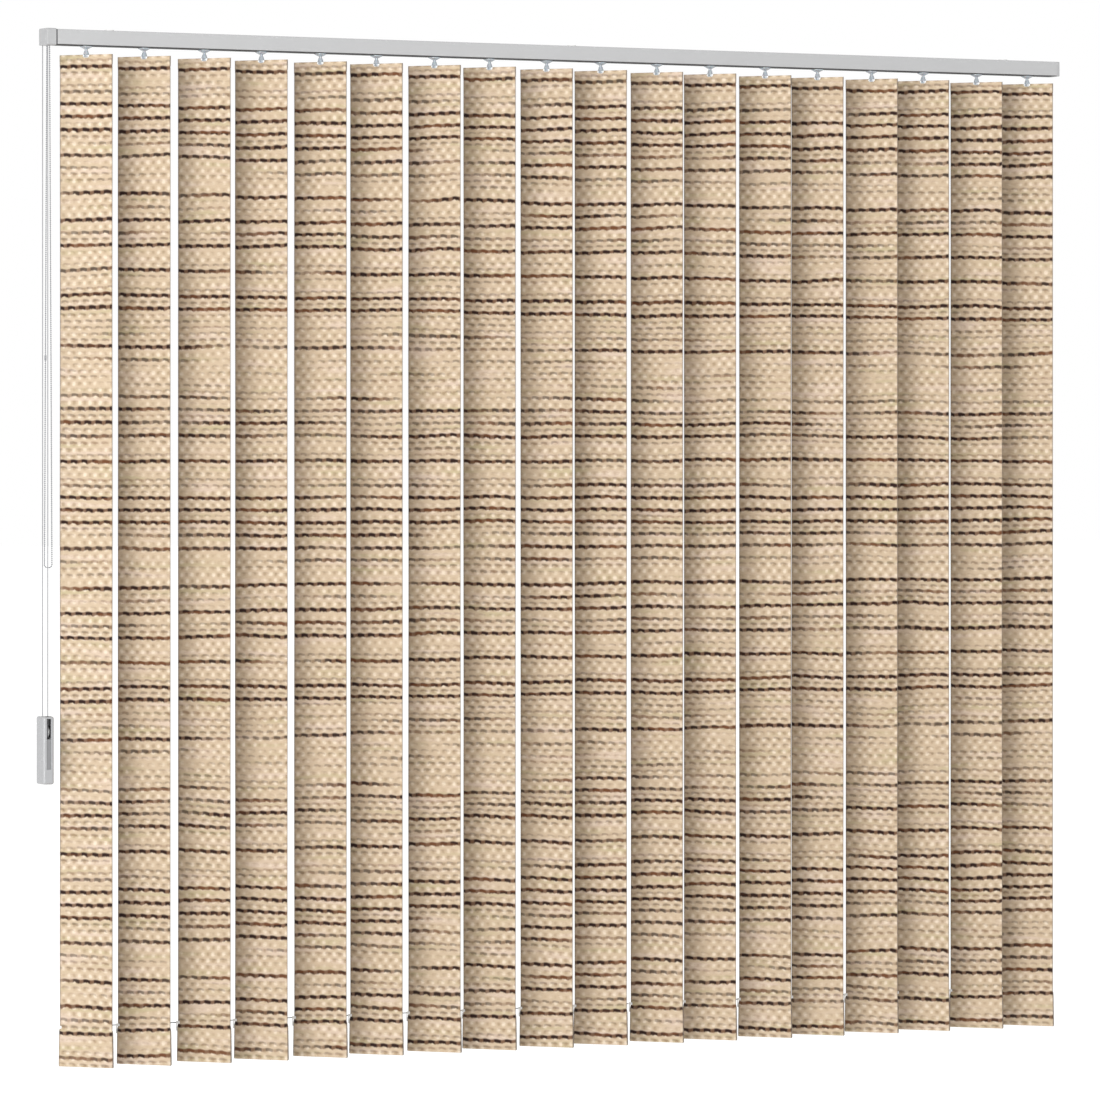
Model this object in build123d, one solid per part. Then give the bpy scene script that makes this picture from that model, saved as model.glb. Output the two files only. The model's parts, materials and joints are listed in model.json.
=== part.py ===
from build123d import *
import math
import os

# Vertical blind: a ceiling-fixed headrail with tilting and traversing fabric vanes.
# +X runs along the rail away from the controls, -Y faces the room, +Z is up.
# The origin is on the ceiling, above the middle of the rail.  All sizes are millimetres.

# ---- vanes ----
vane_count = 18
vane_width = 89.0
vane_drop = 1545.0
fabric_thick = 0.45
rest_tilt = 50.0            # angle of each vane to the rail, right edge towards the room

# ---- headrail ----
rail_length = 1789.0
rail_depth = 31.0
rail_height = 24.0
rail_wall = 1.3
rail_corner = 1.4
ceiling_gap = 1.6           # between the ceiling and the top of the rail
first_margin = 54.4         # rail end to the first vane's axis
last_margin = 50.4          # last vane's axis to the rail's other end
spacer_play = 2.2           # every second vane sits this much closer to the one before it
stem_y = -4.2               # line of the vane axes, in front of the rail's middle
slot_width = 12.0           # opening under the rail

# ---- clip channel in the top of the rail ----
channel_mouth = 13.0
channel_width = 19.0
channel_lip = 1.2
channel_deep = 1.9
channel_floor = 1.1

# ---- drive ----
rod_radius = 1.9
flute_radius = 0.6
flute_count = 4
worm_radius = 2.7
worm_length = 12.0
pinion_radius = 3.2
pinion_height = 4.4
pinion_teeth = 10
tooth_depth = 0.6
rod_drop = 16.0             # rail top to the rod's middle

# ---- traverse cord and pulleys ----
cord_radius = 0.7
cord_drop = 12.0            # rail top to the cord's runs
corner_pulley_radius = 4.2  # to the cord's middle
pulley_lip = 0.7            # how far a pulley's rim stands past the cord's middle
rim_thick = 0.3
pin_radius = 1.0
idler_pin_radius = 1.5

# ---- carriers ----
carrier_length = 20.0
carrier_wall = 1.7
carrier_foot_gap = 0.5      # body to the rail's floor
carrier_roof = 9.8          # rail top to the carrier's top
wheel_radius = 3.4
wheel_thick = 1.8
wheel_spread = 6.0
axle_radius = 0.9
track_gap = 0.6             # axle's end to the rail's wall
flange_radius = 9.75
flange_rim = 1.2
flange_cone = 3.0
flange_tip_radius = 4.0
neck_radius = 5.6
stem_radius = 2.4
stem_tip_radius = 1.6
spacer_width = 5.0
spacer_thick = 0.3
spacer_rise = 3.35          # over the longest strip, so that they nest when the blind is drawn back
spacer_tail = 8.5
spacer_nose = 10.2
bridge_height = 4.2
bridge_thick = 1.0
bridge_length = 2.4

# ---- hanger, hook and weight ----
hook_space = 13.2           # rail's underside to the top of the vane
bell_height = 5.6
bell_top_radius = 3.0
bell_foot_radius = 4.6
prong_thick = 1.0
prong_width = 6.0
prong_reach = 4.0
peg_radius = 1.1
peg_depth = 2.2
peg_hole_radius = 1.6
hanger_width = 60.0
hanger_thick = 1.2
hanger_height = 13.9
window_width = 11.0
window_depth = 4.8
window_step = 1.5           # the window's corners are stepped in this much
tab_gap = 1.0               # hanger's tab to the side of the window
top_hem = 16.0
bottom_hem = 57.0
hem_overhang = 1.5
sewn_line = 1.5
weight_width = 86.0
weight_height = 52.4
weight_thick = 1.8
hook_arm = 1.3
hook_arm_height = 6.0
hook_leaf = 6.1
hook_leaf_thick = 0.8
hook_leaf_height = 4.0
hook_rise = 62.0            # foot of the vane to the top of the weight's chain hook

# ---- bottom chain ----
chain_line = 60.0           # above the foot of the vanes
link_chain_radius = 0.9
chain_edge = 2.5            # from the fabric's rear edge to the chain
chain_end_gap = 1.3

# ---- control end ----
control_length = 15.4
cover_thick = 1.6
cap_over = 1.2              # how far the control end stands above the rail
cap_under = 0.5
cap_side = 0.3
cap_wall = 1.8
cap_corner = 2.2
spigot_length = 6.0
spigot_wall = 1.5
strand_inset = 3.6          # outer end to the plane of the hanging cord
sprocket_inset = 9.5
bead_radius = 1.2
sprocket_radius = 5.0       # to the middle of the beads
sprocket_core = 3.6
sprocket_rim = 0.4
sprocket_width = 3.4
hub_radius = 3.2
chain_drop = 795.0          # under the control end
loop_half = 5.7             # half width of the chain's bottom loop
loop_turn = 28.0            # the loop's foot turns this far off the rail's line
joiner_length = 8.0
joiner_radius = 1.6
joiner_share = 0.6          # down the rear strand

# ---- cord weight ----
strand_drop = 1021.0        # under the control end, to the top of the weight
bob_width = 18.5
bob_wall = 4.0              # front and back, beyond the pulley's rim
bob_height = 103.5
bob_corner = 4.0
bob_end_round = 3.5
bob_slot_width = 7.0
bob_slot_top = 3.5
bob_channel_length = 46.0
bob_channel_deep = 1.5
bob_pulley_drop = 24.0
bob_pulley_width = 4.4
slug_size = (8.0, 18.0, 44.0)
slug_drop = 4.0             # foot of the slot to the room for the slug

# ---- idler end ----
idler_flange = 5.6
idler_end_gap = 2.5         # pulley's rim to the rail's end
idler_tail = 6.5            # plug beyond the pulley's rim
rod_bearing = 8.0
rod_end_gap = 1.0           # the rod stops this far inside its bearing

# ---- ceiling clips ----
clip_spacing = 800.0
clip_count = 3
clip_boss_radius = 6.2
clip_pad_radius = 7.5
clip_foot = (17.0, 11.0)
screw_radius = 2.3
screw_head_radius = 4.4
screw_head_deep = 2.2

# ---- clearances ----
running_gap = 0.05          # turning shafts in their bores
slide_gap = 0.3             # pieces that pass each other
fit_gap = 0.15              # pieces that are put together by hand
mesh_gap = 0.3              # worm to pinion

# ---- places worked out from the sizes above ----
rail_top = -ceiling_gap
rail_foot = rail_top - rail_height
rail_floor = rail_foot + rail_wall
rail_roof = rail_top - channel_lip - channel_deep - channel_floor
rail_left = -rail_length / 2
rail_right = rail_length / 2
left_end = rail_left - control_length
right_end = rail_right + idler_flange
inner_half = rail_depth / 2 - rail_wall
carrier_half = inner_half - track_gap - wheel_thick - 2 * fit_gap
cord_side = carrier_half - carrier_wall  # each run of the cord, from the rail's middle

pitch = (rail_length - first_margin - last_margin + spacer_play) / (vane_count - 1)
vane_x = [
    rail_left + first_margin + n * pitch - (spacer_play if n % 2 else 0.0)
    for n in range(vane_count)
]

rod_y = stem_y + worm_radius + pinion_radius + mesh_gap
rod_z = rail_top - rod_drop
cord_z = rail_top - cord_drop
carrier_foot = rail_floor + carrier_foot_gap
carrier_top = rail_top - carrier_roof
pinion_foot = rod_z - pinion_height / 2
ledge_z = pinion_foot - slide_gap / 2

vane_top = rail_foot - hook_space
vane_foot = vane_top - vane_drop
chain_z = vane_foot + chain_line
chain_reach = vane_width / 2 + chain_edge

cap_top = rail_top + cap_over
cap_foot = rail_foot - cap_under
cap_half = rail_depth / 2 + cap_side
cap_inner_foot = cap_foot + cap_wall
strand_x = left_end + strand_inset
corner_pulley_x = strand_x + corner_pulley_radius
corner_pulley_z = cord_z - corner_pulley_radius
sprocket_x = left_end + sprocket_inset
cord_pulley_half = cord_radius + rim_thick + fit_gap / 2
cord_rim = cord_side + pulley_lip   # rim of the idler pulley and of the cord weight's pulley
idler_x = rail_right - idler_end_gap - cord_rim
idler_spigot = idler_end_gap + 2 * cord_rim + idler_tail

bob_top = cap_foot - strand_drop
bob_foot = bob_top - bob_height
bob_pulley_z = bob_top - bob_pulley_drop
bob_depth = 2 * (cord_rim + bob_wall)
bob_slot_length = bob_pulley_drop + cord_rim + slide_gap - bob_slot_top


def block(x, y, z):
    """A box between two corners, given as (low, high) along each axis."""
    middle = Pos((x[0] + x[1]) / 2, (y[0] + y[1]) / 2, (z[0] + z[1]) / 2)
    return middle * Box(x[1] - x[0], y[1] - y[0], z[1] - z[0])


def post(radius, z, x=0.0, y=0.0):
    """An upright cylinder."""
    return Pos(x, y, (z[0] + z[1]) / 2) * Cylinder(radius, z[1] - z[0])


def shaft_x(radius, x, y=0.0, z=0.0):
    """A cylinder along X."""
    return Pos((x[0] + x[1]) / 2, y, z) * Rot(0, 90, 0) * Cylinder(radius, x[1] - x[0])


def shaft_y(radius, y, x=0.0, z=0.0):
    """A cylinder along Y."""
    return Pos(x, (y[0] + y[1]) / 2, z) * Rot(90, 0, 0) * Cylinder(radius, y[1] - y[0])


def grooved_pulley(pitch_radius, width):
    """A pulley about Z whose groove seats the cord at pitch_radius."""
    seat = pitch_radius - cord_radius - fit_gap
    rim = width / 2 - rim_thick
    wheel = Cylinder(pitch_radius + pulley_lip, width)
    return wheel - (Cylinder(pitch_radius + 2 * pulley_lip, 2 * rim) - Cylinder(seat, 2 * rim))


def tube(points, radii, radius):
    """A round cord along straight runs joined by tangent arcs."""
    path = FilletPolyline(*points, radius=radii)
    print(f"cord of radius {radius}: {path.length:.1f} long, bends", [round(r, 2) for r in radii])
    start = Plane(origin=path @ 0, z_dir=path % 0)
    return sweep(start * Circle(radius), path=path)


def save(name, *solids):
    """Writes one node as a STEP file."""
    loose = [s for shape in solids for s in shape.solids()]
    export_step(loose[0] if len(loose) == 1 else Compound(children=loose), f"parts/{name}.step")


# ---- headrail and ceiling clips ----
def headrail():
    half = rail_depth / 2
    run = (rail_left, rail_right)
    rail = block(run, (-half, half), (rail_foot, rail_top))
    rail = fillet(rail.edges().filter_by(Axis.X), rail_corner)
    hollow = block(run, (-inner_half, inner_half), (rail_floor, rail_top - rail_wall))
    web_half = channel_width / 2 + channel_floor
    hollow -= block(run, (-web_half, web_half), (rail_roof, rail_top))
    channel = block(
        run,
        (-channel_width / 2, channel_width / 2),
        (rail_roof + channel_floor, rail_top - channel_lip),
    )
    mouth = block(run, (-channel_mouth / 2, channel_mouth / 2), (rail_top - channel_lip, rail_top))
    slot = block(
        run, (stem_y - slot_width / 2, stem_y + slot_width / 2), (rail_foot, rail_floor)
    )
    return rail - hollow - channel - mouth - slot


def ceiling_clip():
    neck = post(clip_boss_radius, (rail_top - channel_lip - fit_gap, rail_top))
    pad = post(clip_pad_radius, (rail_top, 0.0))
    foot_top = rail_top - channel_lip - fit_gap
    foot_low = rail_top - channel_lip - channel_deep + fit_gap
    foot = block(
        (-clip_foot[1] / 2, clip_foot[1] / 2),
        (-clip_foot[0] / 2, clip_foot[0] / 2),
        (foot_low, foot_top),
    )
    screw_hole = post(screw_radius, (foot_low, 0.0))
    sink = Pos(0, 0, foot_low + screw_head_deep / 2) * Cone(
        screw_head_radius, screw_radius, screw_head_deep
    )
    return pad + neck + foot - screw_hole - sink


# ---- tilt drive ----
def tilt_rod():
    run = (sprocket_x - sprocket_width / 2, rail_right - idler_spigot + rod_bearing - rod_end_gap)
    rod = shaft_x(rod_radius, run)
    for n in range(flute_count):
        turn = Rot(n * 360 / flute_count, 0, 0)
        rod -= turn * shaft_x(flute_radius, run, z=rod_radius + flute_radius / 3)
    return Pos(0, rod_y, rod_z) * rod


def chain_sprocket():
    half = sprocket_width / 2
    wheel = shaft_x(sprocket_core, (-half, half))
    for side in (-half, half - sprocket_rim):
        wheel += shaft_x(sprocket_radius + pulley_lip, (side, side + sprocket_rim))
    hub = shaft_x(hub_radius, (half, rail_left + rail_wall - sprocket_x))
    bore = shaft_x(rod_radius + running_gap, (-half, rail_left + 2 * rail_wall - sprocket_x))
    return Pos(sprocket_x, rod_y, rod_z) * (wheel + hub - bore)


# ---- control end ----
def cap_blank(x):
    return block(x, (-cap_half, cap_half), (cap_foot, cap_top))


def control_housing():
    inner = left_end + cover_thick
    body = cap_blank((inner, rail_left))
    body = fillet(body.edges().filter_by(Axis.X), cap_corner)
    room = (inner, rail_left - cap_wall)
    cavity = block(
        room, (-cap_half + cap_wall, cap_half - cap_wall), (cap_inner_foot, cap_top - cap_wall)
    )
    plug_half = inner_half - fit_gap
    plug_z = (rail_floor + fit_gap, rail_roof - fit_gap)
    plug_x = (rail_left, rail_left + spigot_length)
    plug = block(plug_x, (-plug_half, plug_half), plug_z)
    plug -= block(
        plug_x,
        (-plug_half + spigot_wall, plug_half - spigot_wall),
        (plug_z[0] + spigot_wall, plug_z[1] - spigot_wall),
    )
    body = body - cavity + plug
    wall = (rail_left - cap_wall, rail_left)
    body -= shaft_x(hub_radius + running_gap, wall, rod_y, rod_z)
    for side in (-cord_side, cord_side):
        body -= shaft_x(2 * cord_radius, wall, side, cord_z)
        body -= post(2 * cord_radius, (cap_foot, cap_inner_foot), strand_x, side)
    for side in (-sprocket_radius, sprocket_radius):
        body -= post(bead_radius + cord_radius, (cap_foot, cap_inner_foot), sprocket_x, rod_y + side)
    return body


def control_cover():
    plate = cap_blank((left_end, left_end + cover_thick))
    plate = fillet(plate.edges().filter_by(Axis.X), cap_corner)
    return fillet(plate.faces().sort_by(Axis.X)[0].edges(), cover_thick / 2)


def pulley_pins():
    """Stub pins pressed into the front and back walls of the control end."""
    inner = cord_side - cord_pulley_half - fit_gap
    outer = cap_half - cap_wall
    front = shaft_y(pin_radius, (-outer, -inner), corner_pulley_x, corner_pulley_z)
    back = shaft_y(pin_radius, (inner, outer), corner_pulley_x, corner_pulley_z)
    return [front, back]


def corner_pulley(side):
    wheel = grooved_pulley(corner_pulley_radius, 2 * cord_pulley_half)
    wheel -= Cylinder(pin_radius + running_gap, 4 * cord_radius)
    return Pos(corner_pulley_x, side, corner_pulley_z) * Rot(90, 0, 0) * wheel


# ---- idler end ----
def idler_housing():
    flange = block(
        (rail_right, right_end), (-rail_depth / 2, rail_depth / 2), (rail_foot, rail_top)
    )
    flange = fillet(flange.edges().filter_by(Axis.X), rail_corner)
    flange = fillet(flange.faces().sort_by(Axis.X)[-1].edges(), rail_corner / 2)
    half = inner_half - fit_gap
    block_x = (rail_right - idler_spigot, rail_right)
    spigot = block(block_x, (-half, half), (rail_floor + fit_gap, rail_roof - fit_gap))
    gap = cord_radius + rim_thick + 2 * fit_gap
    spigot -= block(
        (block_x[0], rail_right - rail_wall),
        (-half + spigot_wall, half - spigot_wall),
        (cord_z - gap, cord_z + gap),
    )
    body = flange + spigot
    body -= shaft_x(
        rod_radius + running_gap, (block_x[0], block_x[0] + rod_bearing), rod_y, rod_z
    )
    return body - post(idler_pin_radius + running_gap, idler_pin_span(), idler_x)


def idler_pin_span():
    return (cord_z - pinion_height, cord_z + pinion_height)


def idler_pulley():
    wheel = grooved_pulley(cord_side, 2 * cord_pulley_half)
    wheel -= Cylinder(idler_pin_radius + running_gap, 4 * cord_radius)
    return Pos(idler_x, 0, cord_z) * wheel


# ---- cords of the controls ----
def rail_cord():
    """Both runs inside the rail, joined round the idler pulley."""
    far = idler_x + cord_side
    points = [
        (corner_pulley_x, -cord_side, cord_z),
        (far, -cord_side, cord_z),
        (far, cord_side, cord_z),
        (corner_pulley_x, cord_side, cord_z),
    ]
    turn = cord_side - running_gap
    return tube(points, [turn, turn], cord_radius)


def hanging_cord():
    """Over both corner pulleys and round the pulley in the cord weight."""
    low = bob_pulley_z - cord_side
    points = [
        (corner_pulley_x, -cord_side, cord_z),
        (strand_x, -cord_side, cord_z),
        (strand_x, -cord_side, low),
        (strand_x, cord_side, low),
        (strand_x, cord_side, cord_z),
        (corner_pulley_x, cord_side, cord_z),
    ]
    corner = corner_pulley_radius - running_gap
    turn = cord_side - running_gap
    return tube(points, [corner, turn, turn, corner], cord_radius)


def chain_corners():
    """The corners of the tilt chain's loop, from the rear of the sprocket round to its foot."""
    high = rod_z + sprocket_radius
    low = cap_foot - chain_drop
    across = loop_half * math.cos(math.radians(loop_turn))
    along = loop_half * math.sin(math.radians(loop_turn))
    return [
        Vector(sprocket_x, rod_y + sprocket_radius, high),
        Vector(sprocket_x, rod_y - sprocket_radius, high),
        Vector(sprocket_x + across, rod_y - along, low),
        Vector(sprocket_x - across, rod_y + along, low),
    ]


def joiner_ends():
    """The upper and lower end of the joiner, on the chain's rear strand."""
    rear_top, _, _, rear_foot = chain_corners()
    way = (rear_foot - rear_top).normalized()
    upper = rear_top + (rear_foot - rear_top) * joiner_share
    return upper, upper + way * joiner_length


def tilt_chain():
    upper, lower = joiner_ends()
    turn = sprocket_radius - running_gap
    foot_turn = 0.45 * 2 * loop_half
    points = [upper, *chain_corners(), lower]
    return tube(points, [turn, turn, foot_turn, foot_turn], bead_radius)


def chain_joiner():
    upper, lower = joiner_ends()
    base = Plane(origin=upper, z_dir=lower - upper)
    return extrude(base * Circle(joiner_radius), amount=joiner_length)


# ---- cord weight ----
def bob_half(side):
    """One moulded half of the cord weight: side is -1 for the left half and 1 for the right."""
    body = block(
        (-bob_width / 2, bob_width / 2), (-bob_depth / 2, bob_depth / 2), (-bob_height, 0)
    )
    body = fillet(body.edges().filter_by(Axis.Z), bob_corner)
    ends = body.faces().sort_by(Axis.Z)
    body = fillet(ends[0].edges() + ends[-1].edges(), bob_end_round)
    slot_foot = -bob_slot_top - bob_slot_length
    slot_half = bob_slot_width / 2
    body -= block(
        (-slot_half, slot_half), (-bob_depth / 2, bob_depth / 2), (slot_foot, -bob_slot_top)
    )
    for face in (-1, 1):
        y = sorted((face * bob_depth / 2, face * (bob_depth / 2 - bob_channel_deep)))
        body -= block((-slot_half, slot_half), y, (slot_foot - bob_channel_length, slot_foot))
        body -= post(2 * cord_radius, (-bob_slot_top, 0), 0, face * cord_side)
    room = [s + 2 * fit_gap for s in slug_size]
    room_z = slot_foot - slug_drop - room[2]
    body -= block(
        (-room[0] / 2, room[0] / 2), (-room[1] / 2, room[1] / 2), (room_z, room_z + room[2])
    )
    body -= shaft_x(
        idler_pin_radius + running_gap, bob_pin_span(), 0, -bob_pulley_drop
    )
    keep = sorted((0, side * bob_width))
    body &= block(keep, (-bob_depth, bob_depth), (-bob_height, 0))
    return Pos(strand_x, 0, bob_top) * body


def bob_pin_span():
    return (-bob_width / 2 + rail_wall, bob_width / 2 - rail_wall)


def bob_pin():
    return Pos(strand_x, 0, bob_pulley_z) * shaft_x(idler_pin_radius, bob_pin_span())


def bob_pulley():
    wheel = grooved_pulley(cord_side, bob_pulley_width)
    wheel -= Cylinder(idler_pin_radius + running_gap, bob_pulley_width)
    return Pos(strand_x, 0, bob_pulley_z) * Rot(0, 90, 0) * wheel


def bob_slug():
    low = bob_slot_top + bob_slot_length + slug_drop + fit_gap
    z = bob_top - low - slug_size[2] / 2
    return Pos(strand_x, 0, z) * Box(*slug_size)


# ---- carriers ----
def carrier_body():
    """The moulded body, its flange under the rail and the bridge over the spacer strips."""
    half = carrier_length / 2
    body = block((-half, half), (-carrier_half, carrier_half), (carrier_foot, carrier_top))
    flange_top = rail_foot - slide_gap
    cone_foot = flange_top - flange_rim - flange_cone
    body += post(neck_radius, (flange_top, carrier_foot), 0, stem_y)
    body += post(flange_radius, (flange_top - flange_rim, flange_top), 0, stem_y)
    body += Pos(0, stem_y, cone_foot + flange_cone / 2) * Cone(
        flange_tip_radius, flange_radius, flange_cone
    )
    body -= post(stem_radius + running_gap, (cone_foot, ledge_z), 0, stem_y)
    body -= post(pinion_radius + mesh_gap, (ledge_z, carrier_top), 0, stem_y)
    body -= shaft_x(rod_radius + slide_gap, (-half, half), rod_y, rod_z)
    worm_half = worm_length / 2 + fit_gap
    worm_room = worm_radius + mesh_gap
    body -= shaft_x(worm_room, (-worm_half, worm_half), rod_y, rod_z)
    body -= block(
        (-worm_half, worm_half), (rod_y - worm_room, rod_y + worm_room), (rod_z, carrier_top)
    )
    for side in (-cord_side, cord_side):
        body -= shaft_x(2 * cord_radius, (-half, half), side, cord_z)
    bridge_x = (half - bridge_length - slide_gap, half - slide_gap)
    opening = spacer_width / 2 + slide_gap
    outside = opening + bridge_thick
    body += block(
        bridge_x,
        (-outside, outside),
        (carrier_top, carrier_top + bridge_height + bridge_thick),
    ) - block(bridge_x, (-opening, opening), (carrier_top, carrier_top + bridge_height))
    axle_end = carrier_half + fit_gap + wheel_thick + fit_gap
    for x in (-wheel_spread, wheel_spread):
        body += shaft_y(axle_radius, (carrier_half, axle_end), x, wheel_z())
        body += shaft_y(axle_radius, (-axle_end, -carrier_half), x, wheel_z())
    return body


def wheel_z():
    return rail_floor + slide_gap + wheel_radius


def carrier_wheels():
    wheels = []
    for side in (-1, 1):
        for x in (-wheel_spread, wheel_spread):
            inner = carrier_half + fit_gap
            y = sorted((side * inner, side * (inner + wheel_thick)))
            wheel = shaft_y(wheel_radius, y, x, wheel_z())
            wheels.append(wheel - shaft_y(axle_radius + running_gap, y, x, wheel_z()))
    return wheels


def worm():
    half = worm_length / 2
    screw = shaft_x(worm_radius, (-half, half), rod_y, rod_z)
    return screw - shaft_x(rod_radius + fit_gap, (-half, half), rod_y, rod_z)


def spacer_strip(gap):
    """The strip that reaches from one carrier over the next, gap being their distance at rest."""
    length = spacer_tail + gap + spacer_nose
    strip = block((0, length), (-spacer_width / 2, spacer_width / 2), (0, spacer_thick))
    lift = carrier_top + running_gap
    longest = spacer_tail + pitch + spacer_play + spacer_nose
    slope = math.degrees(math.asin(spacer_rise / longest))
    return Pos(-spacer_tail, 0, lift) * Rot(0, -slope, 0) * strip


# ---- vanes, in a frame whose Z axis is the vane's own axis ----
def hook_stem():
    """The stem through the carrier, with the bell and the two prongs that hold the hanger."""
    bell_foot = vane_top + running_gap
    bell_top = bell_foot + bell_height
    stem = post(stem_radius, (bell_top, pinion_foot))
    stem += post(stem_tip_radius, (pinion_foot, pinion_foot + pinion_height))
    stem += Pos(0, 0, bell_foot + bell_height / 2) * Cone(
        bell_foot_radius, bell_top_radius, bell_height
    )
    inside = hanger_thick / 2 + fit_gap
    for side in (-1, 1):
        y = sorted((side * inside, side * (inside + prong_thick)))
        stem += block((-prong_width / 2, prong_width / 2), y, (vane_top - prong_reach, bell_foot))
    peg = inside + prong_thick
    return stem + shaft_y(peg_radius, (-peg, peg), 0, vane_top - peg_depth)


def pinion():
    """A small gear that snaps on the stem's tip and carries the vane on the carrier's ledge."""
    top = pinion_foot + pinion_height
    wheel = post(pinion_radius, (pinion_foot, top))
    gash = post(tooth_depth, (pinion_foot, top), pinion_radius)
    for n in range(pinion_teeth):
        wheel -= Rot(0, 0, n * 360 / pinion_teeth) * gash
    return wheel - post(stem_tip_radius + running_gap, (pinion_foot, top))


def vane_hanger():
    inside = hanger_thick / 2
    top = vane_top - fabric_thick - fit_gap
    half = hanger_width / 2
    plate = block((-half, half), (-inside, inside), (top - hanger_height, top))
    tab_half = window_width / 2 - tab_gap
    plate += block((-tab_half, tab_half), (-inside, inside), (top, vane_top - fit_gap))
    hole_z = vane_top - peg_depth + peg_radius + running_gap - peg_hole_radius
    return plate - shaft_y(peg_hole_radius, (-inside, inside), 0, hole_z)


def vane_fabric():
    """One length of cloth: the panel, its top hem round the hanger, its bottom hem round the weight."""
    half = vane_width / 2
    wide = half + hem_overhang
    skin = fabric_thick / 2
    cloth = block((-half, half), (-skin, skin), (vane_foot + bottom_hem, vane_top - top_hem))
    top_in = hanger_thick / 2 + fit_gap
    top_out = top_in + fabric_thick
    cloth += block((-half, half), (-top_out, top_out), (vane_top - top_hem, vane_top))
    pocket = (vane_top - top_hem + sewn_line / 2, vane_top - fabric_thick)
    cloth -= block((-half, half), (-top_in, top_in), pocket)
    low_in = weight_thick / 2 + fit_gap
    low_out = low_in + fabric_thick
    cloth += block((-wide, wide), (-low_out, low_out), (vane_foot, vane_foot + bottom_hem))
    pocket = (vane_foot + fabric_thick, vane_foot + bottom_hem - sewn_line)
    cloth -= block((-wide, wide), (-low_in, low_in), pocket)
    arch = window_width / 2
    step = arch - window_step
    sill = vane_top - window_depth
    cloth -= block((-arch, arch), (-top_out, top_out), (sill + window_step, vane_top))
    return cloth - block((-step, step), (-top_out, top_out), (sill, vane_top))


def vane_weight():
    """The flat weight in the bottom hem, with the hook that carries the bottom chain."""
    half = weight_width / 2
    thick = weight_thick / 2
    foot = vane_foot + fabric_thick + fit_gap
    plate = block((-half, half), (-thick, thick), (foot, foot + weight_height))
    outer = -chain_reach - hook_arm / 2
    arm_foot = foot + weight_height - hook_arm_height
    plate += block((outer, -half), (-thick, thick), (arm_foot, foot + weight_height))
    hook_top = vane_foot + hook_rise
    plate += block((outer, outer + hook_arm), (-thick, thick), (arm_foot, hook_top))
    leaf_back = -fabric_thick / 2 - 1.5 * fit_gap
    leaf = (leaf_back - hook_leaf_thick, leaf_back)
    plate += block((outer, outer + hook_leaf), leaf, (hook_top - hook_leaf_height, hook_top))
    return plate


# ---- bottom chain ----
def chain_corner(n):
    """Where the bottom chain meets the hook of vane n, at rest."""
    turn = math.radians(rest_tilt)
    return vane_x[n] - chain_reach * math.cos(turn), stem_y + chain_reach * math.sin(turn)


def bottom_chain():
    runs = []
    for n in range(vane_count - 1):
        x, y = chain_corner(n)
        span = (x + chain_end_gap, chain_corner(n + 1)[0] - chain_end_gap)
        runs.append(shaft_x(link_chain_radius, span, y, chain_z))
    return runs


# ---- every node is written at its place ----
os.makedirs("parts", exist_ok=True)

save("headrail", headrail())
clip_x = [(n - (clip_count - 1) / 2) * clip_spacing for n in range(clip_count)]
clip = ceiling_clip()
save("ceiling_clips", *[Pos(x, 0, 0) * clip for x in clip_x])
save("control_housing", control_housing())
save("control_cover", control_cover())
save("pulley_pins", *pulley_pins())
save("front_corner_pulley", corner_pulley(-cord_side))
save("rear_corner_pulley", corner_pulley(cord_side))
save("chain_sprocket", chain_sprocket())
save("tilt_rod", tilt_rod())
save("idler_housing", idler_housing())
save("idler_pin", post(idler_pin_radius, idler_pin_span(), idler_x))
save("idler_pulley", idler_pulley())
save("traverse_cord_rail", rail_cord())
save("traverse_cord_loop", hanging_cord())
save("tilt_chain", tilt_chain())
save("chain_joiner", chain_joiner())
save("cord_weight_left", bob_half(-1))
save("cord_weight_right", bob_half(1))
save("cord_weight_pulley", bob_pulley())
save("cord_weight_pin", bob_pin())
save("cord_weight_slug", bob_slug())
save("bottom_chain", *bottom_chain())

body_blank = carrier_body()
wheel_blanks = carrier_wheels()
worm_blank = worm()
for n, x in enumerate(vane_x):
    pieces = [body_blank, *wheel_blanks, worm_blank]
    if n < vane_count - 1:
        pieces.append(spacer_strip(vane_x[n + 1] - x))
    save(f"carrier_{n + 1:02d}", *[Pos(x, 0, 0) * piece for piece in pieces])

vane_blanks = [hook_stem(), pinion(), vane_hanger(), vane_fabric(), vane_weight()]
for n, x in enumerate(vane_x):
    place = Pos(x, stem_y, 0) * Rot(0, 0, -rest_tilt)
    save(f"vane_{n + 1:02d}", *[place * piece for piece in vane_blanks])
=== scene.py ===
import json
from math import cos, pi, radians, sin, sqrt

import bmesh
import bpy
from mathutils import Matrix, Vector


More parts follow.
